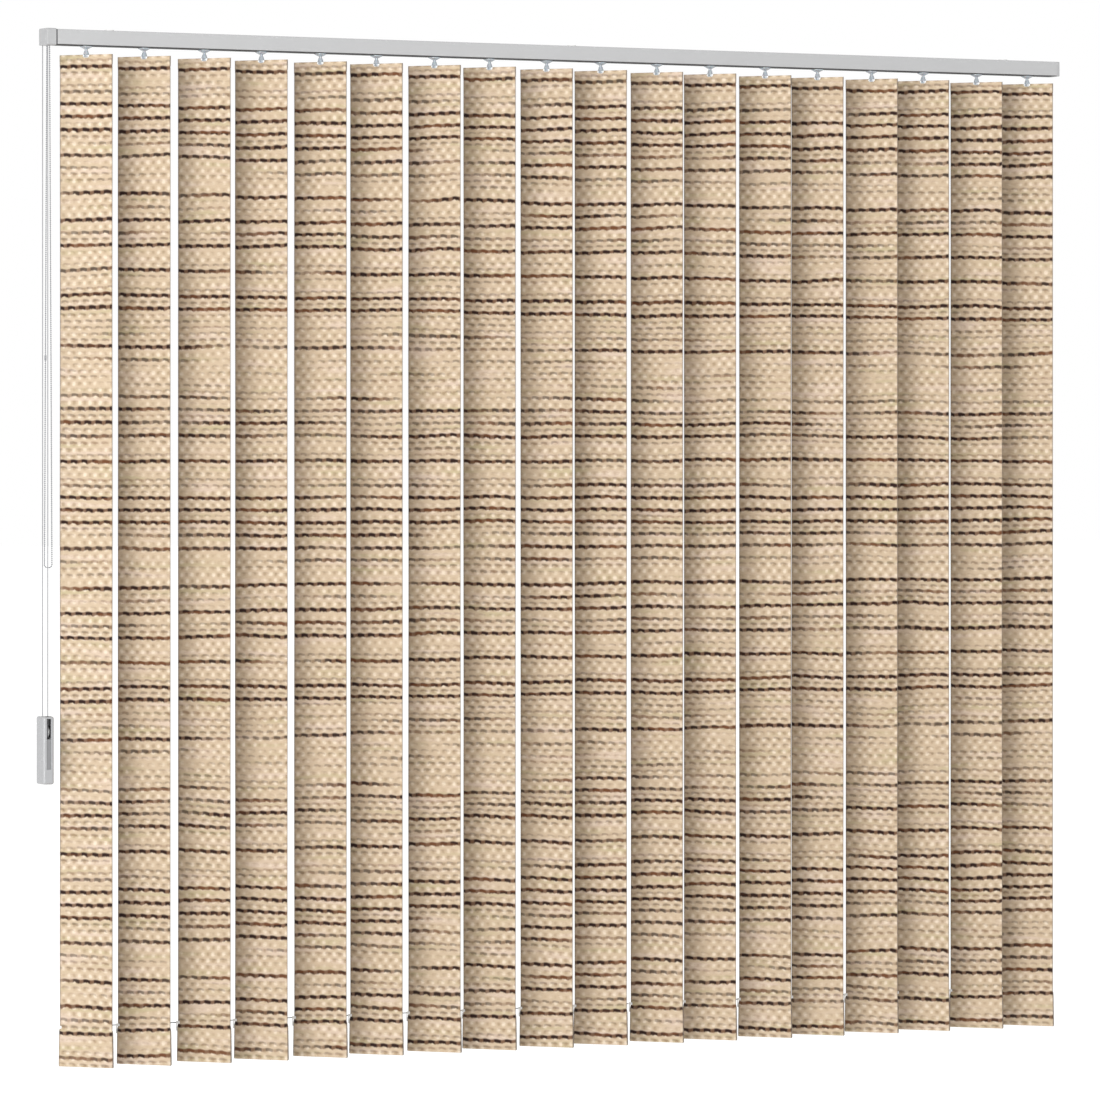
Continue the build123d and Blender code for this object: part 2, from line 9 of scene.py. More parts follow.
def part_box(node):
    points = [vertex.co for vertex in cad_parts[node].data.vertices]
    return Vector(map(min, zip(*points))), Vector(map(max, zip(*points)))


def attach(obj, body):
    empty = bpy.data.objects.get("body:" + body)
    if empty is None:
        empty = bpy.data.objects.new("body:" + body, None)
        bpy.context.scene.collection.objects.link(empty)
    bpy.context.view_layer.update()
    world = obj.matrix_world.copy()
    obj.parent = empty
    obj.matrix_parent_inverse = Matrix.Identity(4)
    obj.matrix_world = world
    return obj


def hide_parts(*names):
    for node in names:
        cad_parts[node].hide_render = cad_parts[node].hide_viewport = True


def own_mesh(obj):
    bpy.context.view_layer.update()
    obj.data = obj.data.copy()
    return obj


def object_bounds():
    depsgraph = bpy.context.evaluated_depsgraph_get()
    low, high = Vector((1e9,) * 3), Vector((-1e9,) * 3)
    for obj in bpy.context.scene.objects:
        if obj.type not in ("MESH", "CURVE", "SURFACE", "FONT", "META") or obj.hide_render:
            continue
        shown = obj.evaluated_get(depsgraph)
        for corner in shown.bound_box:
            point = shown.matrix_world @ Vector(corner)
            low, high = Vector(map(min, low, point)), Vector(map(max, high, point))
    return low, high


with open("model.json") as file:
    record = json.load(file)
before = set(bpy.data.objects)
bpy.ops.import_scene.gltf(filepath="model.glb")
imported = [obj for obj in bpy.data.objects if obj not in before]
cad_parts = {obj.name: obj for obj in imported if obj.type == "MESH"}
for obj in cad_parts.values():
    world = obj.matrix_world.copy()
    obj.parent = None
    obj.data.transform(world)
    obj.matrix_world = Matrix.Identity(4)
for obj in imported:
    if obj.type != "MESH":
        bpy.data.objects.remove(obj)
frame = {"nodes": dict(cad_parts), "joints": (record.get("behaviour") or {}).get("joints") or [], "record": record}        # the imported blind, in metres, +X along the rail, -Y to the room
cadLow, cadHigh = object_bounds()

scene = bpy.context.scene
mm = 0.001
nodes = frame["nodes"]
joints = {joint["name"]: joint for joint in frame["joints"]}
vaneCount = len([name for name in nodes if name.startswith("vane_")])


def vaneAxis(number):
    # The upright line that a vane turns about
    return Vector(joints[f"tilt_{number:02d}"]["pos_m"])


# camera and cords come first

cameraValues = {
    "lens": 222.545,                                # a long lens, so the vanes stay nearly parallel
    "turn": 27.764,                                 # degrees to the left of square on
    "location": (-5.0463, -9.5131, -0.6745),
    "shiftY": -0.0715,
}


def makeCamera(values):
    data = bpy.data.cameras.new("camera")
    data.sensor_width = 36
    data.lens = values["lens"]
    data.shift_y = values["shiftY"]
    data.clip_end = 400
    camera = bpy.data.objects.new("camera", data)
    camera.location = values["location"]
    camera.rotation_euler = (radians(90), 0, radians(-values["turn"]))
    scene.collection.objects.link(camera)
    scene.camera = camera


def inMetres(points):
    return [Vector(point) * mm for point in points]


cordValues = {
    "radius": 0.0007,
    "length": 2.1507,
    "route": inMetres([
        (-902.1, -9.8, -13.6),                      # off the front corner pulley
        (-906.3, -9.8, -13.6),
        (-906.3, -9.8, -22.0),
        (-906.3, -9.8, -1062.7),
        (-906.3, -9.8, -1080.9),                    # under the cord weight's pulley
        (-906.3, 9.8, -1080.9),
        (-906.3, 9.8, -1062.7),
        (-906.3, 9.8, -22.0),
        (-906.3, 9.8, -13.6),
        (-902.1, 9.8, -13.6),                       # onto the rear corner pulley
    ]),
}

beadLoopValues = {
    "diameter": 0.0024,
    "length": 1.6217,
    "pitch": 0.0031,
    "linkRadius": 0.0004,
    "linkSides": 6,
    "route": inMetres([
        (-903.42, 5.61, -497.7),                    # joiner's upper end
        (-900.51, 6.95, -31.0),
        (-900.4, 7.0, -12.6),                       # over the sprocket
        (-900.4, -3.0, -12.6),
        (-900.29, -2.95, -31.0),
        (-895.5, -0.74, -809.7),
        (-895.37, -0.68, -821.1),                   # the loop's free end
        (-905.43, 4.68, -821.1),
        (-905.3, 4.74, -809.7),
        (-903.47, 5.59, -505.7),                    # joiner's lower end
    ]),
}

linkChainValues = {
    "diameter": 0.0018,
    "pitch": 0.0022,
    "linkRadius": 0.0007,
    "linkSides": 5,
    "droop": 0.0012,                                # sag between two hooks
    "endGap": 0.0013,                               # from a hook to the chain's end
    "hookGap": 0.0022,                              # no link within this of a hook
    "packed": 0.218,                                # share of its length left when the vanes are drawn back
}


def makeRoute(name, points, radius=0.0):
    # A smooth NURBS line with the route's points as its control points
    data = bpy.data.curves.new(name, "CURVE")
    data.dimensions = "3D"
    data.resolution_u = 24
    data.bevel_depth = radius
    data.bevel_resolution = 3
    data.use_fill_caps = radius > 0
    spline = data.splines.new("NURBS")
    spline.points.add(len(points) - 1)
    for place, point in zip(spline.points, points):
        place.co = (*point, 1)
    spline.order_u = 3
    spline.use_endpoint_u = True
    curve = bpy.data.objects.new(name, data)
    scene.collection.objects.link(curve)
    return curve


def readRoute(name, points):
    curve = makeRoute(name, points)
    bpy.context.view_layer.update()
    line = bpy.data.meshes.new_from_object(curve)
    path = [vertex.co.copy() for vertex in line.vertices]
    bpy.data.meshes.remove(line)
    bpy.data.objects.remove(curve)
    return path


def evenPlaces(path, pitch):
    # Places an even pitch apart along the path, each with the path's direction
    places = []
    due = pitch / 2
    gone = 0.0
    for start, end in zip(path, path[1:]):
        run = (end - start).length
        while run > 0 and due <= gone + run:
            places.append((start.lerp(end, (due - gone) / run), (end - start).normalized()))
            due += pitch
        gone += run
    return places


def addToScene(name, mesh):
    piece = bpy.data.objects.new(name, mesh)
    scene.collection.objects.link(piece)
    return piece


def finishMesh(bm, name, smoothAngle=35):
    bmesh.ops.recalc_face_normals(bm, faces=bm.faces)
    mesh = bpy.data.meshes.new(name)
    bm.to_mesh(mesh)
    bm.free()
    mesh.shade_smooth()
    mesh.set_sharp_from_angle(angle=radians(smoothAngle))
    return mesh


def makeBeads(name, path, values, hooks=()):
    # Small beads on a thin thread, as one mesh that follows the path and opens at its hooks
    bm = bmesh.new()
    radius = values["diameter"] / 2
    for place, along in evenPlaces(path, values["pitch"]):
        if any(abs(place.x - hook) < values["hookGap"] for hook in hooks):
            continue
        turn = along.to_track_quat("Z", "Y").to_matrix().to_4x4()
        bmesh.ops.create_icosphere(bm, subdivisions=1, radius=radius,
                                   matrix=Matrix.Translation(place) @ turn)
        bmesh.ops.create_cone(bm, cap_ends=False, segments=values["linkSides"],
                              radius1=values["linkRadius"], radius2=values["linkRadius"],
                              depth=values["pitch"],
                              matrix=Matrix.Translation(place + along * values["pitch"] / 2) @ turn)
    return addToScene(name, finishMesh(bm, name, 80))


makeCamera(cameraValues)
print("camera set")


# materials: small helpers, then one function for each finish

def newMaterial(name):
    material = bpy.data.materials.new(name)
    material.use_nodes = True
    tree = material.node_tree
    return material, tree, tree.nodes["Principled BSDF"]


def addNode(tree, kind, inputs=None, **settings):
    node = tree.nodes.new("ShaderNode" + kind)
    for key, value in settings.items():
        setattr(node, key, value)
    for socket, value in (inputs or {}).items():
        if isinstance(value, bpy.types.NodeSocket):
            tree.links.new(value, node.inputs[socket])
        else:
            node.inputs[socket].default_value = value
    return node


def calc(tree, operation, *values, clamp=False):
    node = addNode(tree, "Math", dict(enumerate(values)), operation=operation, use_clamp=clamp)
    return node.outputs[0]


def smoothStep(tree, value, low, high):
    node = addNode(tree, "MapRange", {"Value": value, "From Min": low, "From Max": high},
                   interpolation_type="SMOOTHSTEP")
    return node.outputs["Result"]


def mixColour(tree, factor, first, second):
    node = addNode(tree, "Mix", {0: factor, 6: first, 7: second}, data_type="RGBA")
    return node.outputs[2]


def scaleColour(colour, share):
    return (*[part * share for part in colour[:3]], 1)


def objectPlace(tree, scale=(1, 1, 1)):
    place = addNode(tree, "TexCoord").outputs["Object"]
    return addNode(tree, "Mapping", {"Vector": place, "Scale": scale}).outputs["Vector"]


def addBump(tree, shader, height, distance, strength=1.0):
    bump = addNode(tree, "Bump", {"Strength": strength, "Distance": distance, "Height": height})
    tree.links.new(bump.outputs["Normal"], shader.inputs["Normal"])


plasticValues = {
    "capPlastic": {"colour": (0.285, 0.287, 0.29, 1), "roughness": 0.42, "grain": 2600, "depth": 0.00003},
    "clipPlastic": {"colour": (0.6, 0.6, 0.585, 1), "roughness": 0.4, "grain": 2200, "depth": 0.00002},
    "carrierPlastic": {"colour": (0.27, 0.295, 0.32, 1), "roughness": 0.22, "grain": 1800, "depth": 0.00002,
                       "subsurface": 0.1},
    "pulleyPlastic": {"colour": (0.6, 0.6, 0.59, 1), "roughness": 0.35, "grain": 2000, "depth": 0.00002},
    "weightPlastic": {"colour": (0.27, 0.272, 0.278, 1), "roughness": 0.25, "grain": 1500,
                      "depth": 0.00003},
    "beadPlastic": {"colour": (0.16, 0.165, 0.175, 1), "roughness": 0.3, "grain": 3000, "depth": 0.00001},
    "hangerPlastic": {"colour": (0.68, 0.68, 0.67, 1), "roughness": 0.38, "grain": 2000, "depth": 0.00002},
}


def mouldedPlastic(name):
    # Moulded plastic: a faint drift of tone, a spark-eroded grain and uneven gloss
    values = plasticValues[name]
    material, tree, shader = newMaterial(name)
    place = objectPlace(tree)
    drift = addNode(tree, "TexNoise", {"Vector": place, "Scale": 35, "Detail": 3}).outputs[0]
    grain = addNode(tree, "TexNoise", {"Vector": place, "Scale": values["grain"], "Detail": 2}).outputs[0]
    colour = mixColour(tree, drift, scaleColour(values["colour"], 0.95),
                       scaleColour(values["colour"], 1.05))
    rough = addNode(tree, "MapRange", {"Value": drift, "To Min": values["roughness"] - 0.05,
                                       "To Max": values["roughness"] + 0.08}).outputs["Result"]
    tree.links.new(colour, shader.inputs["Base Color"])
    tree.links.new(rough, shader.inputs["Roughness"])
    shader.inputs["Subsurface Weight"].default_value = values.get("subsurface", 0.0)
    shader.inputs["Subsurface Scale"].default_value = 0.002
    addBump(tree, shader, grain, values["depth"])
    return material


railValues = {
    "colour": (0.312, 0.313, 0.316, 1),
    "roughness": 0.4,
    "drawLines": 1400,
    "joint": (0.01, 0.01, 0.011, 1),                # painted shade in the cap's joint and along the foot
    "jointWidth": 0.0022,
    "footHeight": 0.0014,
    "fade": (0.8, 0.7),                             # where the shade is full, as a share of its width
}


def powderCoatedRail():
    # Satin powder coat over an extrusion: fine drawn lines along the rail, a faint orange peel, and painted
    # shade at the cap's joint and along the foot
    material, tree, shader = newMaterial("powderCoatedRail")
    lines = addNode(tree, "TexNoise", {"Vector": objectPlace(tree, (0.6, 1, 1)),
                                       "Scale": railValues["drawLines"], "Detail": 1}).outputs[0]
    peel = addNode(tree, "TexNoise", {"Vector": objectPlace(tree), "Scale": 900, "Detail": 2}).outputs[0]
    drift = addNode(tree, "TexNoise", {"Vector": objectPlace(tree, (0.2, 1, 1)), "Scale": 9}).outputs[0]
    colour = mixColour(tree, drift, scaleColour(railValues["colour"], 0.97),
                       scaleColour(railValues["colour"], 1.03))
    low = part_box("headrail")[0]
    here = addNode(tree, "SeparateXYZ", {0: addNode(tree, "TexCoord").outputs["Object"]})
    width, height = railValues["jointWidth"], railValues["footHeight"]
    across, up = railValues["fade"]
    # painted shade: the rail darkened next to the cap's joint and along its foot
    jointShadeMask = smoothStep(tree, here.outputs[0], low.x + width, low.x + width * across)
    footShadeMask = smoothStep(tree, here.outputs[2], low.z + height, low.z + height * up)
    colour = mixColour(tree, calc(tree, "MAXIMUM", jointShadeMask, footShadeMask), colour, railValues["joint"])
    rough = addNode(tree, "MapRange", {"Value": peel, "To Min": railValues["roughness"] - 0.06,
                                       "To Max": railValues["roughness"] + 0.06}).outputs["Result"]
    tree.links.new(colour, shader.inputs["Base Color"])
    tree.links.new(rough, shader.inputs["Roughness"])
    addBump(tree, shader, calc(tree, "MULTIPLY_ADD", lines, 0.6, peel), 0.00002)
    return material


def drawnMetal(name, colour, roughness):
    # Bare metal with drawing lines along X
    material, tree, shader = newMaterial(name)
    lines = addNode(tree, "TexNoise", {"Vector": objectPlace(tree, (0.02, 1, 1)), "Scale": 1800,
                                       "Detail": 2}).outputs[0]
    tree.links.new(mixColour(tree, lines, scaleColour(colour, 0.9), scaleColour(colour, 1.05)),
                   shader.inputs["Base Color"])
    rough = addNode(tree, "MapRange", {"Value": lines, "To Min": roughness - 0.08,
                                       "To Max": roughness + 0.1}).outputs["Result"]
    tree.links.new(rough, shader.inputs["Roughness"])
    shader.inputs["Metallic"].default_value = 1.0
    addBump(tree, shader, lines, 0.00001)
    return material


braidValues = {"light": (0.24, 0.24, 0.25, 1), "dark": (0.12, 0.12, 0.125, 1), "plait": 420}


def braidedYarn():
    # Two sets of diagonal plaits that cross on the cord
    material, tree, shader = newMaterial("braidedYarn")
    plaits = []
    for slant in (1, -1):
        place = objectPlace(tree, (1, slant, 1))
        plaits.append(addNode(tree, "TexWave", {"Vector": place, "Scale": braidValues["plait"]},
                              bands_direction="DIAGONAL").outputs[1])
    height = calc(tree, "MAXIMUM", plaits[0], plaits[1])
    tree.links.new(mixColour(tree, height, braidValues["dark"], braidValues["light"]),
                   shader.inputs["Base Color"])
    shader.inputs["Roughness"].default_value = 0.8
    shader.inputs["Sheen Weight"].default_value = 0.2
    addBump(tree, shader, height, 0.0001)
    return material


linkFinish = {"dark": (0.012, 0.014, 0.02, 1), "light": (0.025, 0.029, 0.04, 1)}


def darkLinks():
    # Dark moulded links of the bottom chain
    material, tree, shader = newMaterial("darkLinks")
    drift = addNode(tree, "TexNoise", {"Vector": objectPlace(tree), "Scale": 120, "Detail": 2}).outputs[0]
    tree.links.new(mixColour(tree, drift, linkFinish["dark"], linkFinish["light"]),
                   shader.inputs["Base Color"])
    shader.inputs["Roughness"].default_value = 0.5
    shader.inputs["Specular IOR Level"].default_value = 0.25
    addBump(tree, shader, drift, 0.00003)
    return material


clothValues = {
    "width": 0.089,
    "drop": 1.545,
    "thick": 0.00045,
    "topHem": 0.016,
    "bottomHem": 0.057,
    "hemWidth": 0.092,                              # at the foot, where the sewn hem flares out
    "corner": 0.002,
    "topRadius": 0.000975,                          # middle of the cloth round the hanger
    "footRadius": 0.001275,                         # middle of the cloth round the weight
    "turnedEnd": 0.00046,                           # depth at which the cloth's two ends are sewn down
    "window": [(0.0055, 0.0033), (0.004, 0.0048)],  # half widths and half heights of the hook's window
    "columns": 20,
    "rows": 230,
    "ripple": 0.0004,                               # unevenness of the hanging cloth
    "calm": 0.1,                                    # length over which it dies out towards each hem
    "calmFrom": 1.4,                                # height above the foot where that starts at the top
}

weaveValues = {
    "bumpWidth": 0.0178,                            # five bumps across a vane
    "rowHeight": 0.0097,
    "linePitch": 0.0194,                            # every second row can hold a dark thread
    "firstLine": 0.008,                             # below the top fold
    "repeat": 31,                                   # rows of threads before the cloth's pattern comes again
    "mainThreads": {"offset": 0.0, "weight": 1.0, "seed": 3.0, "heavy": (4, 5, 18, 19)},
    "thinThreads": {"offset": 0.0097, "weight": 0.45, "seed": 57.0, "heavy": ()},
    # painted shade for the hollows between the weave's bumps
    "hollowShade": (0.262, 0.19, 0.115, 1),
    "ground": (0.4, 0.312, 0.218, 1),
    # painted highlight for the bumps' crowns
    "crownHighlight": (0.53, 0.445, 0.345, 1),
    "pink": (0.455, 0.358, 0.288, 1),
    "olive": (0.34, 0.292, 0.17, 1),
    "thread": (0.016, 0.005, 0.003, 1),
    "rust": (0.1, 0.038, 0.015, 1),
    "edge": (0.13, 0.105, 0.085, 1),                # painted shade along the cut edges
}


def streak(tree, across, down, size, seed):
    # A soft random value that is long across the cloth and short down it
    place = addNode(tree, "CombineXYZ", {0: calc(tree, "MULTIPLY", across, size[0]),
                                         1: calc(tree, "MULTIPLY", down, size[1]), 2: seed}).outputs[0]
    return addNode(tree, "TexNoise", {"Vector": place, "Scale": 1.0, "Detail": 1.5}).outputs[0]


def darkThreads(tree, across, down, values, threads):
    # One set of dark threads: how strongly the thread shows, and how rusty it is
    weight = threads["weight"]
    fromFirst = calc(tree, "SUBTRACT", down, values["firstLine"] + threads["offset"])
    lines = calc(tree, "DIVIDE", fromFirst, values["linePitch"])
    row = calc(tree, "FLOORED_MODULO", calc(tree, "FLOOR", lines), float(values["repeat"]))
    seeded = calc(tree, "ADD", row, threads["seed"])
    chance = addNode(tree, "TexWhiteNoise", {"W": seeded}, noise_dimensions="1D").outputs[0]
    for heavy in threads["heavy"]:                  # rows of the repeat that are always dark
        isHeavy = calc(tree, "COMPARE", row, heavy, 0.4)
        chance = calc(tree, "MAXIMUM", chance, calc(tree, "MULTIPLY", isHeavy, 1.25))
    fade = streak(tree, across, seeded, (4.6, 7.3), 0.0)
    amount = smoothStep(tree, calc(tree, "MULTIPLY_ADD", chance, 0.5, fade), 0.51, 0.9)
    amount = calc(tree, "MULTIPLY_ADD", amount, 0.9 * weight, 0.1 * weight)

    # the thread wanders up and down its row, and goes under every second bump
    rowTurn = calc(tree, "MULTIPLY", row, 2.4)
    turn = calc(tree, "MULTIPLY_ADD", across, 2 * pi / values["bumpWidth"], rowTurn)
    ragged = streak(tree, across, seeded, (150.0, 5.1), 31.0)
    wander = calc(tree, "MULTIPLY_ADD", ragged, 0.12, -0.06)
    wave = calc(tree, "MULTIPLY_ADD", calc(tree, "SINE", turn), 0.032, wander)
    offMiddle = calc(tree, "SUBTRACT", calc(tree, "FRACT", lines), calc(tree, "ADD", wave, 0.5))
    far = calc(tree, "ABSOLUTE", offMiddle)
    width = calc(tree, "MULTIPLY", calc(tree, "MULTIPLY_ADD", amount, 0.08, 0.052),
                 calc(tree, "MULTIPLY_ADD", ragged, 1.0, 0.55))
    line = smoothStep(tree, calc(tree, "DIVIDE", far, width), 1.6, 0.5)
    over = smoothStep(tree, calc(tree, "COSINE", calc(tree, "MULTIPLY_ADD", ragged, 1.6, turn)), 0.0, -0.9)
    gap = calc(tree, "MULTIPLY", over, calc(tree, "MULTIPLY_ADD", amount, -0.82, 0.95))
    shown = calc(tree, "MULTIPLY", calc(tree, "MULTIPLY", amount, line), calc(tree, "SUBTRACT", 1.0, gap))
    return shown, calc(tree, "MULTIPLY", over, 0.8)


def wovenFabric():
    # A coarse weave of soft staggered bumps, with painted highlight on their crowns and painted shade in
    # their hollows, dark slub threads and painted shade along the cut edges, on the cloth's cut-out
    # coordinates
    values = weaveValues
    material, tree, shader = newMaterial("wovenFabric")
    place = addNode(tree, "UVMap", uv_map="clothMap").outputs[0]
    split = addNode(tree, "SeparateXYZ", {0: place})
    across, straight = split.outputs[0], split.outputs[1]
    drift = calc(tree, "SUBTRACT", streak(tree, across, straight, (6.0, 9.0), 4.0), 0.5)
    down = calc(tree, "MULTIPLY_ADD", drift, 0.014, straight)
    jitter = calc(tree, "MULTIPLY_ADD", streak(tree, across, straight, (60.0, 90.0), 8.0), 0.005, across)

    columnWave = calc(tree, "COSINE", calc(tree, "MULTIPLY", jitter, 2 * pi / values["bumpWidth"]))
    rowWave = calc(tree, "COSINE", calc(tree, "MULTIPLY", down, pi / values["rowHeight"]))
    lattice = calc(tree, "MULTIPLY", columnWave, rowWave)
    relief = smoothStep(tree, streak(tree, across, down, (18.0, 40.0), 2.0), 0.3, 0.6)
    swell = calc(tree, "MULTIPLY", lattice, calc(tree, "MULTIPLY_ADD", relief, 0.6, 0.4))
    tint = streak(tree, across, down, (9.0, 75.0), 12.0)
    yarnPlace = addNode(tree, "Mapping", {"Vector": place, "Scale": (0.25, 1, 1)}).outputs[0]
    yarn = addNode(tree, "TexNoise", {"Vector": yarnPlace, "Scale": 700, "Detail": 2}).outputs[0]

    cloth = values["ground"]
    # painted highlight on the bumps' crowns and painted shade in their hollows, by the lattice's height;
    # the fine yarn noise also darkens towards the hollows' colour
    for value, low, high, share, name in (
        (tint, 0.45, 0.25, 0.7, "olive"),
        (tint, 0.52, 0.72, 0.8, "pink"),
        (swell, 0.0, 1.0, 1.0, "crownHighlight"),
        (swell, -0.1, -1.0, 0.75, "hollowShade"),
        (yarn, 0.5, 0.25, 0.3, "hollowShade"),
    ):
        amount = calc(tree, "MULTIPLY", smoothStep(tree, value, low, high), share)
        cloth = mixColour(tree, amount, cloth, values[name])

    main, mainRust = darkThreads(tree, across, down, values, values["mainThreads"])
    thin = darkThreads(tree, across, down, values, values["thinThreads"])[0]
    rusty = smoothStep(tree, streak(tree, across, down, (14.0, 50.0), 21.0), 0.5, 0.66)
    thread = mixColour(tree, calc(tree, "MAXIMUM", mainRust, rusty), values["thread"], values["rust"])
    cloth = mixColour(tree, calc(tree, "MAXIMUM", main, thin), cloth, thread)
    # painted shade: a thin dark line along each vane's cut edges
    fromSide = calc(tree, "ADD", across, clothValues["width"] / 2)
    inVane = calc(tree, "FRACT", calc(tree, "DIVIDE", fromSide, clothValues["width"]))
    toEdge = calc(tree, "ABSOLUTE", calc(tree, "SUBTRACT", inVane, 0.5))
    edgeShade = calc(tree, "MULTIPLY", smoothStep(tree, toEdge, 0.484, 0.497), 0.7)
    cloth = mixColour(tree, edgeShade, cloth, values["edge"])
    tree.links.new(cloth, shader.inputs["Base Color"])
    shader.inputs["Roughness"].default_value = 0.9
    shader.inputs["Specular IOR Level"].default_value = 0.2
    shader.inputs["Sheen Weight"].default_value = 0.1
    height = calc(tree, "MULTIPLY_ADD", yarn, 0.3, swell)
    height = calc(tree, "MULTIPLY_ADD", main, 0.6, height)
    addBump(tree, shader, height, 0.0004, 0.7)
    return material


slotShade = {                                       # an edge is where the shade starts, and is full
    "sideEdge": (0.0048, 0.0042),                   # from the middle, across
    "frontEdge": (0.0135, 0.013),                   # from the middle, to the front and back
    "slotEdge": (0.0325, 0.0315),                   # below the top; above this the slot is open
    "channel": 0.4,                                 # share of the shade in the channel under it
    "dark": (0.012, 0.012, 0.013, 1),
}


def weightPlastic(values):
    # The cord weight's plastic, with painted shade inside its slot and, weaker, in the channel under it
    material = mouldedPlastic("weightPlastic")
    tree = material.node_tree
    shader = tree.nodes["Principled BSDF"]
    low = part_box("cord_weight_left")[0]
    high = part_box("cord_weight_right")[1]
    middle = (low + high) / 2
    here = addNode(tree, "SeparateXYZ", {0: addNode(tree, "TexCoord").outputs["Object"]})
    aside = calc(tree, "ABSOLUTE", calc(tree, "SUBTRACT", here.outputs[0], middle.x))
    deep = calc(tree, "ABSOLUTE", calc(tree, "SUBTRACT", here.outputs[1], middle.y))
    # painted shade: darkens the slot's inside fully, and the channel under it by a share
    inside = calc(tree, "MULTIPLY", smoothStep(tree, aside, *values["sideEdge"]),
                  smoothStep(tree, deep, *values["frontEdge"]))
    upper = smoothStep(tree, here.outputs[2], *[high.z - below for below in values["slotEdge"]])
    share = calc(tree, "MULTIPLY_ADD", upper, 1 - values["channel"], values["channel"])
    plain = shader.inputs["Base Color"].links[0].from_socket
    tree.links.new(mixColour(tree, calc(tree, "MULTIPLY", inside, share), plain, values["dark"]),
                   shader.inputs["Base Color"])
    return material


finishes = {
    "rail_aluminium": powderCoatedRail(),
    "end_plastic": mouldedPlastic("capPlastic"),
    "clip_plastic": mouldedPlastic("clipPlastic"),
    "carrier_plastic": mouldedPlastic("carrierPlastic"),
    "pulley_plastic": mouldedPlastic("pulleyPlastic"),
    "rod_aluminium": drawnMetal("rodAluminium", (0.78, 0.79, 0.8, 1), 0.35),
    "steel": drawnMetal("pinSteel", (0.55, 0.55, 0.56, 1), 0.3),
    "braided_cord": braidedYarn(),
    "chain_plastic": mouldedPlastic("beadPlastic"),
    "link_chain": darkLinks(),
    "weight_plastic": weightPlastic(slotShade),
    "woven_fabric": wovenFabric(),
    "white_plastic": mouldedPlastic("hangerPlastic"),
}


def finishCadNodes():
    # Every CAD part that stays gets the finish of its slot
    slots = {part["node"]: part["material_slot"] for part in frame["record"]["subparts"]}
    for name, node in nodes.items():
        for place in node.material_slots:
            place.material = finishes[slots[name]]


def dress(piece, slotName, body, *replaced):
    # Gives a piece its finish and its body, and hides the CAD nodes that it stands for
    piece.data.materials.append(finishes[slotName])
    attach(piece, body)
    if replaced:
        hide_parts(*replaced)
    return piece


finishCadNodes()
print("finishes made")


# cords and chains

def makeHangingCord(values):
    cord = makeRoute("hanging_cord", values["route"], values["radius"])
    dress(cord, "braided_cord", "root", "traverse_cord_loop")


def makeBeadLoop(values):
    path = readRoute("beadRoute", values["route"])
    chain = makeBeads("tilt_bead_chain", path, values)
    dress(chain, "chain_plastic", "root", "tilt_chain")


def makeLinkChain(values):
    low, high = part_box("bottom_chain")
    y = (low.y + high.y) / 2
    z = (low.z + high.z) / 2
    span = (high.x - low.x) / (vaneCount - 1)
    points = []
    for n in range(vaneCount - 1):
        x = low.x + span * n
        points.append(Vector((x, y, z)))
        points.append(Vector((x + span / 2, y, z - values["droop"])))
    points.append(Vector((high.x, y, z)))
    path = readRoute("linkRoute", points)
    firstHook = low.x - values["endGap"]
    hooks = [firstHook + vaneAxis(n).x - vaneAxis(1).x for n in range(1, vaneCount + 1)]
    chain = makeBeads("bottom_link_chain", path, values, hooks)
    dress(chain, "link_chain", "bottom_chain", "bottom_chain")
    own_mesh(chain)


makeHangingCord(cordValues)
makeBeadLoop(beadLoopValues)
makeLinkChain(linkChainValues)
print("cords and chains made")


# vanes: each is a hook stem, a pinion, a hanger, the cloth and a bottom weight

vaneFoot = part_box("vane_01")[0].z                   # lowest point of the cloth
vaneTop = vaneFoot + clothValues["drop"]
vaneTurn = radians(-50)                             # how the vanes stand at rest

stemValues = {
    "profile": [                                    # radius, height above the top of the vane
        (0.0, 20.9), (1.45, 20.9), (1.6, 20.7), (1.6, 18.98), (2.4, 18.98), (2.4, 5.65), (3.0, 5.65),
        (3.25, 4.9), (4.45, 0.75), (4.6, 0.05), (0.0, 0.05),
    ],
    "prong": (0.0061, 0.001, 0.00405),              # width, thickness, reach below the vane's top
    "prongRoot": 0.0004,                            # how far the prongs reach into the stem
    "prongFace": 0.00075,                           # half the gap between them
    "prongSoft": 0.0002,                            # rounding of the prongs' edges
    "pegRadius": 0.0011,
    "pegDepth": 0.0022,
    "pegSoft": 0.00015,
}


def spinProfile(bm, profile, steps=28):
    # Turns a half profile in millimetres round Z, and closes it
    corners = [bm.verts.new((radius * mm, 0, height * mm)) for radius, height in profile]
    edges = [bm.edges.new(pair) for pair in zip(corners, corners[1:])]
    bmesh.ops.spin(bm, geom=corners + edges, cent=(0, 0, 0), axis=(0, 0, 1), angle=2 * pi,
                   steps=steps, use_merge=True)
    bmesh.ops.remove_doubles(bm, verts=bm.verts, dist=1e-6)


def addBar(bm, low, high, soft, segments=2):
    # A moulded bar between two corners, with its edges rounded
    low, high = Vector(low), Vector(high)
    size = high - low
    made = bmesh.ops.create_cube(bm, size=1, matrix=Matrix.Translation((low + high) / 2)
                                 @ Matrix.Diagonal((*size, 1)))["verts"]
    edges = list({edge for corner in made for edge in corner.link_edges})
    bmesh.ops.bevel(bm, geom=edges, offset=soft, offset_type="OFFSET", segments=segments,
                    profile=0.5, affect="EDGES", material=-1)


